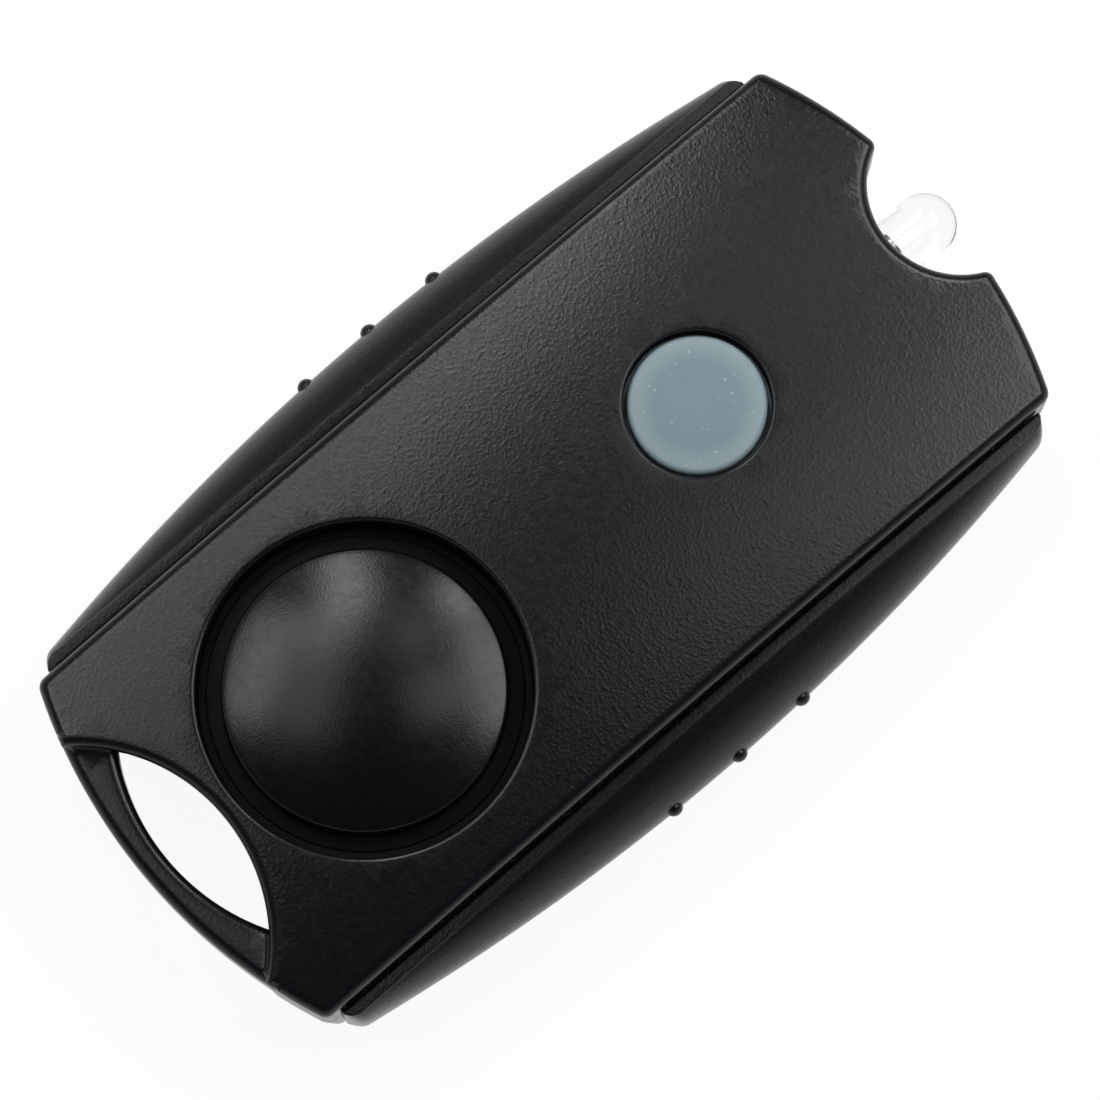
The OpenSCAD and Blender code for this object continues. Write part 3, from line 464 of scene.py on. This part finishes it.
def front_cover():
    bm = bmesh.new()
    bm.verts.layers.float.new("rim")
    sunk = bm.verts.layers.float.new("sunk")
    edge, ceiling = 0.7, height - 1.8
    draft, bar_tip = 0.7, 0.1
    parting = cover_outline(bm, seam + 0.04, 0.1, 0.9, 0.4, scoop_radius + draft, bar_tip=bar_tip)
    wall = [cover_outline(bm, seam + 0.16, scoop=scoop_radius + draft, bar_tip=bar_tip)]
    wall += [cover_outline(bm, height - 0.02 - edge + rise, inset, 1 - inset, 0.75 - inset, bar_tip=bar_tip)
             for inset, rise in quarter(edge)]
    wall.append(cover_outline(bm, height, edge + 0.12, 0.15, 0.05))
    lining = [cover_outline(bm, z, 1.2, 0.3, 0.2) for z in (ceiling, seam + 0.3)]
    join(bm, [*lining, parting, *wall])
    mark_rim(bm, wall[2:-1])
    for v in {v for ring in wall[:2] for e in ring for v in e.verts}:
        v[sunk] = v.co.y < -30 and abs(v.co.x) < 11.5

    face_edges, ceiling_edges = list(wall[-1]), list(lining[0])
    alarm_well, light_hole = (alarm_y, 12.85, 0.35, 12.65, 13.05), (light_y, 5.75, 0.2, 13.4, 7.05)
    for y, radius, rounding, foot, collar in (alarm_well, light_hole):
        rings = [circle(bm, 0, y, height, radius + rounding + 0.12, 144)]
        rings += [circle(bm, 0, y, height - 0.02 - rounding + rise, radius + inset, 144)
                  for inset, rise in reversed(quarter(rounding, 4))]
        lower = ((foot, radius), (foot + 0.1, collar), (ceiling, collar))
        rings += [circle(bm, 0, y, z, r, 144) for z, r in lower]
        join(bm, rings)
        mark_rim(bm, rings[1:6])
        for v in {v for ring in rings[6:] for e in ring for v in e.verts}:
            v[sunk] = 1
        face_edges += rings[0]
        ceiling_edges += rings[-1]
    face = fill(bm, face_edges)
    fill(bm, ceiling_edges)

    for axis, reach in ((Vector((1, 0, 0)), 16), (Vector((0, 1, 0)), 38)):
        for place in range(-reach, reach + 1, 2):
            geom = [f for f in face if f.is_valid]
            geom += list({e for f in geom for e in f.edges} | {v for f in geom for v in f.verts})
            cut = bmesh.ops.bisect_plane(bm, geom=geom, dist=1e-3, plane_co=axis * place, plane_no=axis)
            face = [g for g in cut["geom"] if isinstance(g, bmesh.types.BMFace)]

    for v in bm.verts:
        x, y, z = v.co
        if z >= ceiling - 0.01:
            v.co.z -= face_drop(x, y)
        if z < seam + 0.2 and y > 30 and abs(x) < 2.55:
            v.co.z = max(z, seam + sqrt(2.55**2 - x**2))
    return bm


cover_mesh = front_cover()

# %% [markdown]
# ## Strap bar
# At the strap end the face is scooped away down to a lower bar, and a lens-shaped hole goes right
# through beside it. The bar is drawn as its own closed ring, with its ends inside the scoop's wall.
# Where its top meets that wall it rises a little, as a moulded fillet does. It joins the front cover's
# mesh, because the two are moulded in one.

# %% Model the strap bar in the front cover's mesh
bar_top = height - face_drop(0, scoop_y + scoop_radius) - 2
bar_edge, bar_depth, foot_rise, foot_width, tilt = 0.8, 1.1, 0.7, 0.8, 0.08


def bar_outline(bm, z, inset=0.0, depth=bar_depth):
    """Closed ring round the bar, drawn in by an inset, its ends some depth inside the wall."""
    lens_y, lens_r = 2.2 - half_length + 18, 18 + inset
    scoop_r, end_r = scoop_radius + depth, end_radius - 0.03 - inset
    tip = between_circles(scoop_y, scoop_r, lens_y, lens_r) + Vector((0, 0, z))
    root = between_circles(scoop_y, scoop_r, strap_end, end_r) + Vector((0, 0, z))
    before = set(bm.edges)
    v = start_at(bm, 0, lens_y - lens_r, z)
    v = arc_to(bm, v, (0, lens_y, z), tip, 24)
    v = arc_to(bm, v, (0, scoop_y, z), root, 12)
    arc_to(bm, v, (0, strap_end, z), (0, strap_end - end_r, z), 30)
    return mirrored(bm, before)


bar_rings = [bar_outline(cover_mesh, bar_top - 3.4, 0.3), bar_outline(cover_mesh, bar_top - 3.1)]
for inset, rise in quarter(bar_edge, 7):
    depth = bar_depth - 1.94 * inset
    ring = bar_outline(cover_mesh, bar_top - bar_edge + rise, inset, depth)
    for v in {v for e in ring for v in e.verts}:
        if abs(Vector((v.co.x, v.co.y - scoop_y)).length - scoop_radius - depth) < 1e-3:
            v.co.z = bar_top + foot_rise * min(1, (depth + 0.45) / foot_width) ** 2
        v.co.z += tilt * (v.co.y + half_length - 1.1)
    bar_rings.append(ring)
fill(cover_mesh, bar_rings[0])
fill(cover_mesh, bar_rings[-1])
join(cover_mesh, bar_rings)
mark_rim(cover_mesh, bar_rings)
cover = piece("front_cover_shell", cover_mesh, "case", case_plastic, walls=case_walls)
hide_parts("front_cover")

# %% [markdown]
# ## Back cover
# The back closes the case. Its lower edge is rounded more than the face's edge, and its flat has
# holes for the battery cap, four sunk screws and a row of slots for the siren. Each hole is a ring
# at the outside and another at the inside, with a small chamfer between.

# %% Model the back cover
def slot_outline(bm, x, y, z, length, width, turned=False):
    """Closed ring round a slot with round ends, along the case or across it."""
    reach = (length - width) / 2
    before = set(bm.edges)
    v = start_at(bm, width / 2, -reach, z)
    v = line_to(bm, v, (width / 2, reach, z), 6)
    arc_to(bm, v, (0, reach, z), (0, reach + width / 2, z), 6)
    v = next(v for v in bm.verts if (v.co - Vector((width / 2, -reach, z))).length < 1e-3
             and any(e not in before for e in v.link_edges))
    arc_to(bm, v, (0, -reach, z), (0, -reach - width / 2, z), 6)
    ring = mirrored(bm, before)
    verts = list({v for e in ring for v in e.verts})
    if turned:
        bmesh.ops.rotate(bm, verts=verts, cent=(0, 0, z), matrix=Matrix.Rotation(pi / 2, 3, "Z"))
    bmesh.ops.translate(bm, verts=verts, vec=(x, y, 0))
    return ring


def back_cover():
    bm = bmesh.new()
    bm.verts.layers.float.new("rim")
    sunk = bm.verts.layers.float.new("sunk")
    relief, edge, floor = scoop_radius + 0.6, 1.6, 1.6
    draft, lean = 0.9, 0.8

    def ring(z, inset=0.0, corner=1.0, tip=0.5):
        below = 1 - z / seam
        return cover_outline(bm, z, inset, corner, tip, relief + draft * below, lean * below)

    wall = [cover_outline(bm, seam - 0.3, 1.2, 0.3, 0.2, relief)]
    wall += [ring(seam - 0.04, 0.1, 0.9, 0.4), ring(seam - 0.16)]
    wall += [ring(edge + 0.02 - rise, inset, 1 + 0.5 * inset) for inset, rise in quarter(edge, 6)]
    wall.append(ring(0, edge + 0.3, 1.8))
    inside = cover_outline(bm, floor, 1.2, 0.3, 0.2, relief, lean)
    join(bm, [inside, *wall])
    mark_rim(bm, wall[4:-1])
    for v in {v for ring_edges in wall[:4] for e in ring_edges for v in e.verts}:
        v[sunk] = v.co.y < -28 and abs(v.co.x) < 11.5

    outer, inner = list(wall[-1]), list(inside)
    holes = [[circle(bm, 0, battery_y, z, 11.67 + c, 120) for z, c in ((0, 0.2), (0.2, 0), (floor, 0))]]
    for x, y in ((12.2, 29.5), (-12.2, 29.5), (12.2, -30), (-12.2, -30)):
        holes.append([circle(bm, x, y, z, 2.1 + c, 48) for z, c in ((0, 0.2), (0.2, 0), (floor, 0))])
    for i in range(-2, 3):
        holes.append([slot_outline(bm, 2.8 * i, siren_y, z, 15 - 1.6 * i**2 + 2 * c, 1.4 + 2 * c)
                      for z, c in ((0, 0.2), (0.2, 0), (floor, 0))])
    for rings in holes:
        join(bm, rings)
        mark_rim(bm, rings[:2])
        outer += rings[0]
        inner += rings[-1]
    fill(bm, outer)
    fill(bm, inner)
    for v in bm.verts:
        x, y, z = v.co
        if z > seam - 0.2 and y > 30 and abs(x) < 2.55:
            v.co.z = min(z, seam - sqrt(2.55**2 - x**2))
    return bm


back = piece("back_cover_shell", back_cover(), "case", case_plastic, walls=case_walls)
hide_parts("back_cover")

# %% [markdown]
# ## Side grips
# Each grip is made straight and then bowed. Its section is drawn once: a flat against the case, a
# narrow ledge, a soft line and a full flank. Spin without an angle pulls the section along the case in
# even steps, and then each vertex moves in towards the tips and follows the crown of the face.

# %% Model a grip
def grip(side):
    bm = bmesh.new()
    bm.verts.layers.float.new("rim")
    inner, ledge, outer, low, top, half = 17.12, 18.22, 22, 3.1, 12.7, 35.3
    bow = (half**2 + 3.3**2) / (2 * 3.3)
    across = Vector((0, 1, 0))
    flank = (outer - ledge) / (1 - sin(radians(24)))
    middle = Vector((outer - flank, -half, seam))
    swing = Vector((sin(radians(24)), 0, cos(radians(24)))) * flank

    v = start_at(bm, inner, -half, low)
    v = line_to(bm, v, (inner, -half, top - 0.3))
    v = arc_to(bm, v, (inner + 0.3, -half, top - 0.3), (inner + 0.3, -half, top), 4, across)
    v = line_to(bm, v, (ledge - 0.12, -half, top - 0.02))
    straight = set(bm.verts)
    v = line_to(bm, v, middle + swing)
    v = arc_to(bm, v, middle, (outer, -half, seam), 18, across)
    v = arc_to(bm, v, middle, (middle.x + swing.x, -half, seam - swing.z), 18, across)
    for v in set(bm.verts) - straight:
        reach = (top - 0.12 - seam) if v.co.z > seam else (seam - low - 0.15)
        v.co.z = seam + (v.co.z - seam) * reach / swing.z
    section = bmesh.ops.contextual_create(bm, geom=[*bm.verts, *bm.edges])["faces"]

    for steps, length in ((8, 1.2), (58, 2 * half - 2.4), (8, 1.2)):
        geom = section + list({e for f in section for e in f.edges} | {v for f in section for v in f.verts})
        made = bmesh.ops.spin(bm, geom=geom, dvec=(0, length / steps, 0), axis=(0, 0, 1), steps=steps, angle=0)
        section = [g for g in made["geom_last"] if isinstance(g, bmesh.types.BMFace)]

    def out(y):
        return outer - bow + sqrt(bow**2 - min(half, abs(y)) ** 2)

    def ledge_height(y):
        return height - face_drop(half_width, y) - 2 - seam

    for v in bm.verts:
        x, y, z = v.co
        if x > ledge - 0.2:
            x = ledge + (x - ledge) * (out(y) - ledge) / (outer - ledge)
        past = max(0, abs(y) - (half - 1.2)) / 1.2
        x = inner + (x - inner) * max(0.3, sqrt(max(0, 1 - past**2)))
        if z > seam:
            z = seam + (z - seam) * ledge_height(y) / ledge_height(0)
        v.co = x, y, z
    for y in (-5.8, 0.7, 7.2):
        nub = Matrix.Translation((out(y) - 0.3, y, seam + 0.6))
        bmesh.ops.create_uvsphere(bm, u_segments=24, v_segments=16, radius=0.75, matrix=nub)
    if side < 0:
        bmesh.ops.scale(bm, vec=(-1, 1, 1), verts=bm.verts)
    return bm


for side, name in ((1, "right_grip"), (-1, "left_grip")):
    made = piece(name + "_moulding", grip(side), "case", grip_plastic, 30)
    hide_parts(name)

# %% [markdown]
# ## Round pieces
# The dome, the silicone button, the LED, the battery cap and the spring are all turned shapes. A
# profile is drawn with the same arcs and lines in an upright plane, and one full Spin makes the solid.

# %% Turn the alarm button
def turned(bm, y, axis=(0, 0, 1), z=0.0, steps=144):
    """Spin the profile that has been drawn through a full turn."""
    bmesh.ops.spin(bm, geom=[*bm.verts, *bm.edges], cent=(0, y, z), axis=axis,
                   angle=tau, steps=steps, use_merge=True)
    return bm


def alarm_dome():
    bm = bmesh.new()
    rim, sunk = bm.verts.layers.float.new("rim"), bm.verts.layers.float.new("sunk")
    y, across = alarm_y, Vector((0, 1, 0))
    edge_z, ball = height - face_drop(0, y) - 1, (10.95**2 + 2**2) / 4
    centre = edge_z + 2 - ball
    corner = Vector((10.55, y, centre + sqrt((ball - 0.4) ** 2 - 10.55**2)))
    tangent = Vector((0, y, centre)) + (corner - Vector((0, y, centre))).normalized() * ball
    step = edge_z - 1.8
    v = start_at(bm, 0, y, edge_z + 2)
    v = arc_to(bm, v, (0, y, centre), tangent, 28, across)
    smooth = set(bm.verts)
    v = arc_to(bm, v, corner, (10.95, y, corner.z), 6, across)
    for w in set(bm.verts) - smooth:
        w[rim] = 1
    v = line_to(bm, v, (10.95, y, edge_z - 0.6))
    above = set(bm.verts)
    v = line_to(bm, v, (10.95, y, step + 0.15))
    v = arc_to(bm, v, (11.1, y, step + 0.15), (11.1, y, step), 3, across)
    v = line_to(bm, v, (12.05, y, step))
    v = arc_to(bm, v, (12.05, y, step - 0.15), (12.2, y, step - 0.15), 3, across)
    flange = ((12.2, step - 0.2), (12.75, step - 0.2), (12.75, step - 1.2))
    for x, z in (*flange, (9.65, step - 1.2), (9.65, step + 0.6)):
        v = line_to(bm, v, (x, y, z))
    line_to(bm, v, (0, y, edge_z + 0.5))
    for w in set(bm.verts) - above:
        w[sunk] = 1
    return turned(bm, y)


dome = piece("alarm_button_dome", alarm_dome(), "alarm_button", dome_plastic, walls=dome_walls)
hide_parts("alarm_button")

# %% Turn the light button
def light_button():
    bm = bmesh.new()
    y, across, ball = light_y, Vector((0, 1, 0)), 60
    top = height - face_drop(0, y) - 0.35
    centre = Vector((0, y, top - ball))
    corner = Vector((4.9, y, centre.z + sqrt((ball - 0.5) ** 2 - 4.9**2)))
    v = start_at(bm, 0, y, top)
    v = arc_to(bm, v, centre, centre + (corner - centre).normalized() * ball, 12, across)
    v = arc_to(bm, v, corner, (5.4, y, corner.z), 8, across)
    flange, stem = ((5.4, 13.25), (6.5, 13.25), (6.5, 12.5), (4.2, 12.5)), ((2.6, 13.4), (2.6, 9.16), (0, 9.16))
    for x, z in (*flange, (4.2, 13.4), *stem):
        v = line_to(bm, v, (x, y, z))
    return turned(bm, y, steps=96)


button = piece("light_button_cap", light_button(), "light_button", silicone)
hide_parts("light_button")

# %% Turn the LED
def led_lens():
    bm = bmesh.new()
    back, straight, up = 32.39, 39.09, Vector((1, 0, 0))
    v = start_at(bm, 0, back, seam)
    for y, r in ((back, 2.8), (back + 0.1, 2.9), (back + 0.9, 2.9), (back + 1, 2.8), (back + 1, 2.5)):
        v = line_to(bm, v, (0, y, seam + r))
    v = line_to(bm, v, (0, straight, seam + 2.5), 8)
    arc_to(bm, v, (0, straight, seam), (0, straight + 2.5, seam), 20, up)
    return turned(bm, 0, (0, 1, 0), seam, 64)


lens = piece("led_lens_body", led_lens(), "case", epoxy)
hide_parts("led_lens")

# %% Turn the battery cap and sink its coin groove
def battery_cap():
    bm = bmesh.new()
    bm.verts.layers.float.new("rim")
    face = 0.15
    rings = [circle(bm, 0, battery_y, face + 0.35 - rise, 11.55 - inset, 120)
             for inset, rise in reversed(quarter(0.35, 4))]
    rings += [circle(bm, 0, battery_y, z, r, 120) for z, r in ((0.84, 11.55), (0.88, 10.5), (1.85, 10.5))]
    groove = [slot_outline(bm, 0, battery_y, z, 15 + 2 * c, 1.9 + 2 * c, True)
              for z, c in ((face, 0.2), (face + 0.2, 0), (1.0, 0))]
    join(bm, rings)
    join(bm, groove)
    mark_rim(bm, rings[:4] + groove[:2])
    fill(bm, rings[0] + groove[0])
    fill(bm, groove[-1])
    fill(bm, rings[-1])
    return bm


cap = piece("battery_cap_disc", battery_cap(), "battery_cap", case_plastic)
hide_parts("battery_cap")

# %% [markdown]
# ## Spring and skirt
# Two hidden pieces give way when a button is pressed: the coil under the dome and the silicone skirt
# under the small button. The coil is a small ring that Spin carries up as it turns. Both ride with
# the case, each with a mesh of its own.

# %% Wind the spring and turn the skirt
def spring():
    bm = bmesh.new()
    turn = Matrix.Translation((5.75, alarm_y, 8.1)) @ Matrix.Rotation(pi / 2, 4, "X")
    bmesh.ops.create_circle(bm, cap_ends=True, segments=10, radius=0.35, matrix=turn)
    geom = [*bm.verts, *bm.edges, *bm.faces]
    turns, steps, climb = 3.5, 112, 4.5
    bmesh.ops.spin(bm, geom=geom, cent=(0, alarm_y, 0), axis=(0, 0, 1), angle=tau * turns,
                   steps=steps, dvec=(0, 0, climb / steps))
    return bm


def skirt():
    bm = bmesh.new()
    y = light_y
    corners = ((8.3, 7.75), (8.3, 8.65), (8.1, 8.65), (6.35, 12.47), (5.75, 12.47), (6.9, 8.65), (6.9, 7.75))
    first = v = start_at(bm, corners[0][0], y, corners[0][1])
    for x, z in corners[1:]:
        v = line_to(bm, v, (x, y, z))
    bmesh.ops.contextual_create(bm, geom=[v, first])
    return turned(bm, y, steps=72)


coil = piece("alarm_return_coil", spring(), "case", steel)
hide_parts("alarm_button_spring")
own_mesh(coil)
membrane = piece("light_button_membrane", skirt(), "case", silicone)
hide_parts("light_button_skirt")
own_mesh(membrane)

# %% [markdown]
# ## Floor and light
# The photograph was taken in a small white light tent. The floor is white to the camera, keeps a faint
# shadow, and lets a view from below through. A black, satin case shows mostly what it mirrors, so the
# light is a ring of soft boxes close by: a key box and a side box towards the top of the picture give
# the dome its two highlights, and wider, weaker ones to the left and right shade the face from edge to
# edge. The sky is a pale band near the horizon that turns dark overhead, so that the plastic stays black.

# %% Floor
def floor_finish():
    material, tree, shader, place = new_finish("floor")
    white = blend_colours(tree, noise(tree, place, 3, 2), (0.86, 0.86, 0.86), (0.9, 0.9, 0.9))
    tree.links.new(white, shader.inputs["Base Color"])
    shader.inputs["Roughness"].default_value = 0.9
    shader.inputs["Specular IOR Level"].default_value = 0.0
    path = tree.nodes.new("ShaderNodeLightPath").outputs
    seen = add(tree, "ShaderNodeMath", {"operation": "MAXIMUM"},
               _0=path["Is Camera Ray"], _1=path["Is Transmission Ray"])
    seen = add(tree, "ShaderNodeMath", {"operation": "MAXIMUM"}, _0=seen.outputs[0], _1=path["Is Glossy Ray"])
    share = add(tree, "ShaderNodeMath", {"operation": "MULTIPLY"}, _0=seen.outputs[0], _1=0.9)
    glow = add(tree, "ShaderNodeEmission", Strength=1.03)
    mix = add(tree, "ShaderNodeMixShader", _0=share.outputs[0], _1=shader.outputs[0], _2=glow.outputs[0])
    below = tree.nodes.new("ShaderNodeNewGeometry").outputs["Backfacing"]
    clear = tree.nodes.new("ShaderNodeBsdfTransparent").outputs[0]
    mix = add(tree, "ShaderNodeMixShader", _0=below, _1=mix.outputs[0], _2=clear)
    tree.links.new(mix.outputs[0], next(n for n in tree.nodes if n.type == "OUTPUT_MATERIAL").inputs["Surface"])
    return material


bm = bmesh.new()
bmesh.ops.create_grid(bm, x_segments=1, y_segments=1, size=3, matrix=Matrix.Translation((0, 0, -0.02 * mm)))
mesh = bpy.data.meshes.new("floor")
bm.to_mesh(mesh)
bm.free()
mesh.materials.append(floor_finish())
floor = bpy.data.objects.new("floor", mesh)
scene.collection.objects.link(floor)

# %% Sky and lamps
world = bpy.data.worlds.new("studio")
world.use_nodes = True
scene.world = world
sky = world.node_tree
background = next(n for n in sky.nodes if n.type == "BACKGROUND")
background.inputs["Color"].default_value = (1, 1, 1, 1)
direction = sky.nodes.new("ShaderNodeTexCoord").outputs["Generated"]
upward = add(sky, "ShaderNodeSeparateXYZ", Vector=direction).outputs["Z"]
sky.links.new(span(sky, upward, 0.5, 0.04, 0.3, 0.6), background.inputs["Strength"])


lamp_distance = 300


def soft_box(name, right, up, rise, width, length, power):
    """Area lamp placed by its direction in the picture, facing the alarm."""
    lamp = bpy.data.lights.new(name, "AREA")
    lamp.shape, lamp.size, lamp.size_y, lamp.energy = "RECTANGLE", width * mm, length * mm, power
    made = bpy.data.objects.new(name, lamp)
    flat_up = Vector((-sin(azimuth), cos(azimuth), 0))
    towards = (right * camera_right + up * flat_up + rise * Vector((0, 0, 1))).normalized()
    made.location = towards * lamp_distance * mm
    made.rotation_mode = "QUATERNION"
    made.rotation_quaternion = towards.to_track_quat("Z", "Y")
    scene.collection.objects.link(made)


soft_box("key_box", -0.16, 0.62, 0.768, 58, 111, 0.133)
soft_box("side_box", 0.38, 0.55, 0.744, 63, 63, 0.093)
soft_box("right_box", 0.60, 0.16, 0.784, 178, 110, 0.257)
soft_box("outer_left_box", -0.57, 0.20, 0.797, 170, 75, 0.151)
soft_box("inner_left_box", -0.33, 0.08, 0.941, 140, 80, 0.052)
soft_box("upper_left_box", -0.24, 0.40, 0.885, 75, 70, 0.058)
soft_box("overhead_box", 0.29, 0.06, 0.955, 70, 84, 0.035)
soft_box("far_box", 0.16, 0.36, 0.919, 50, 60, 0.018)
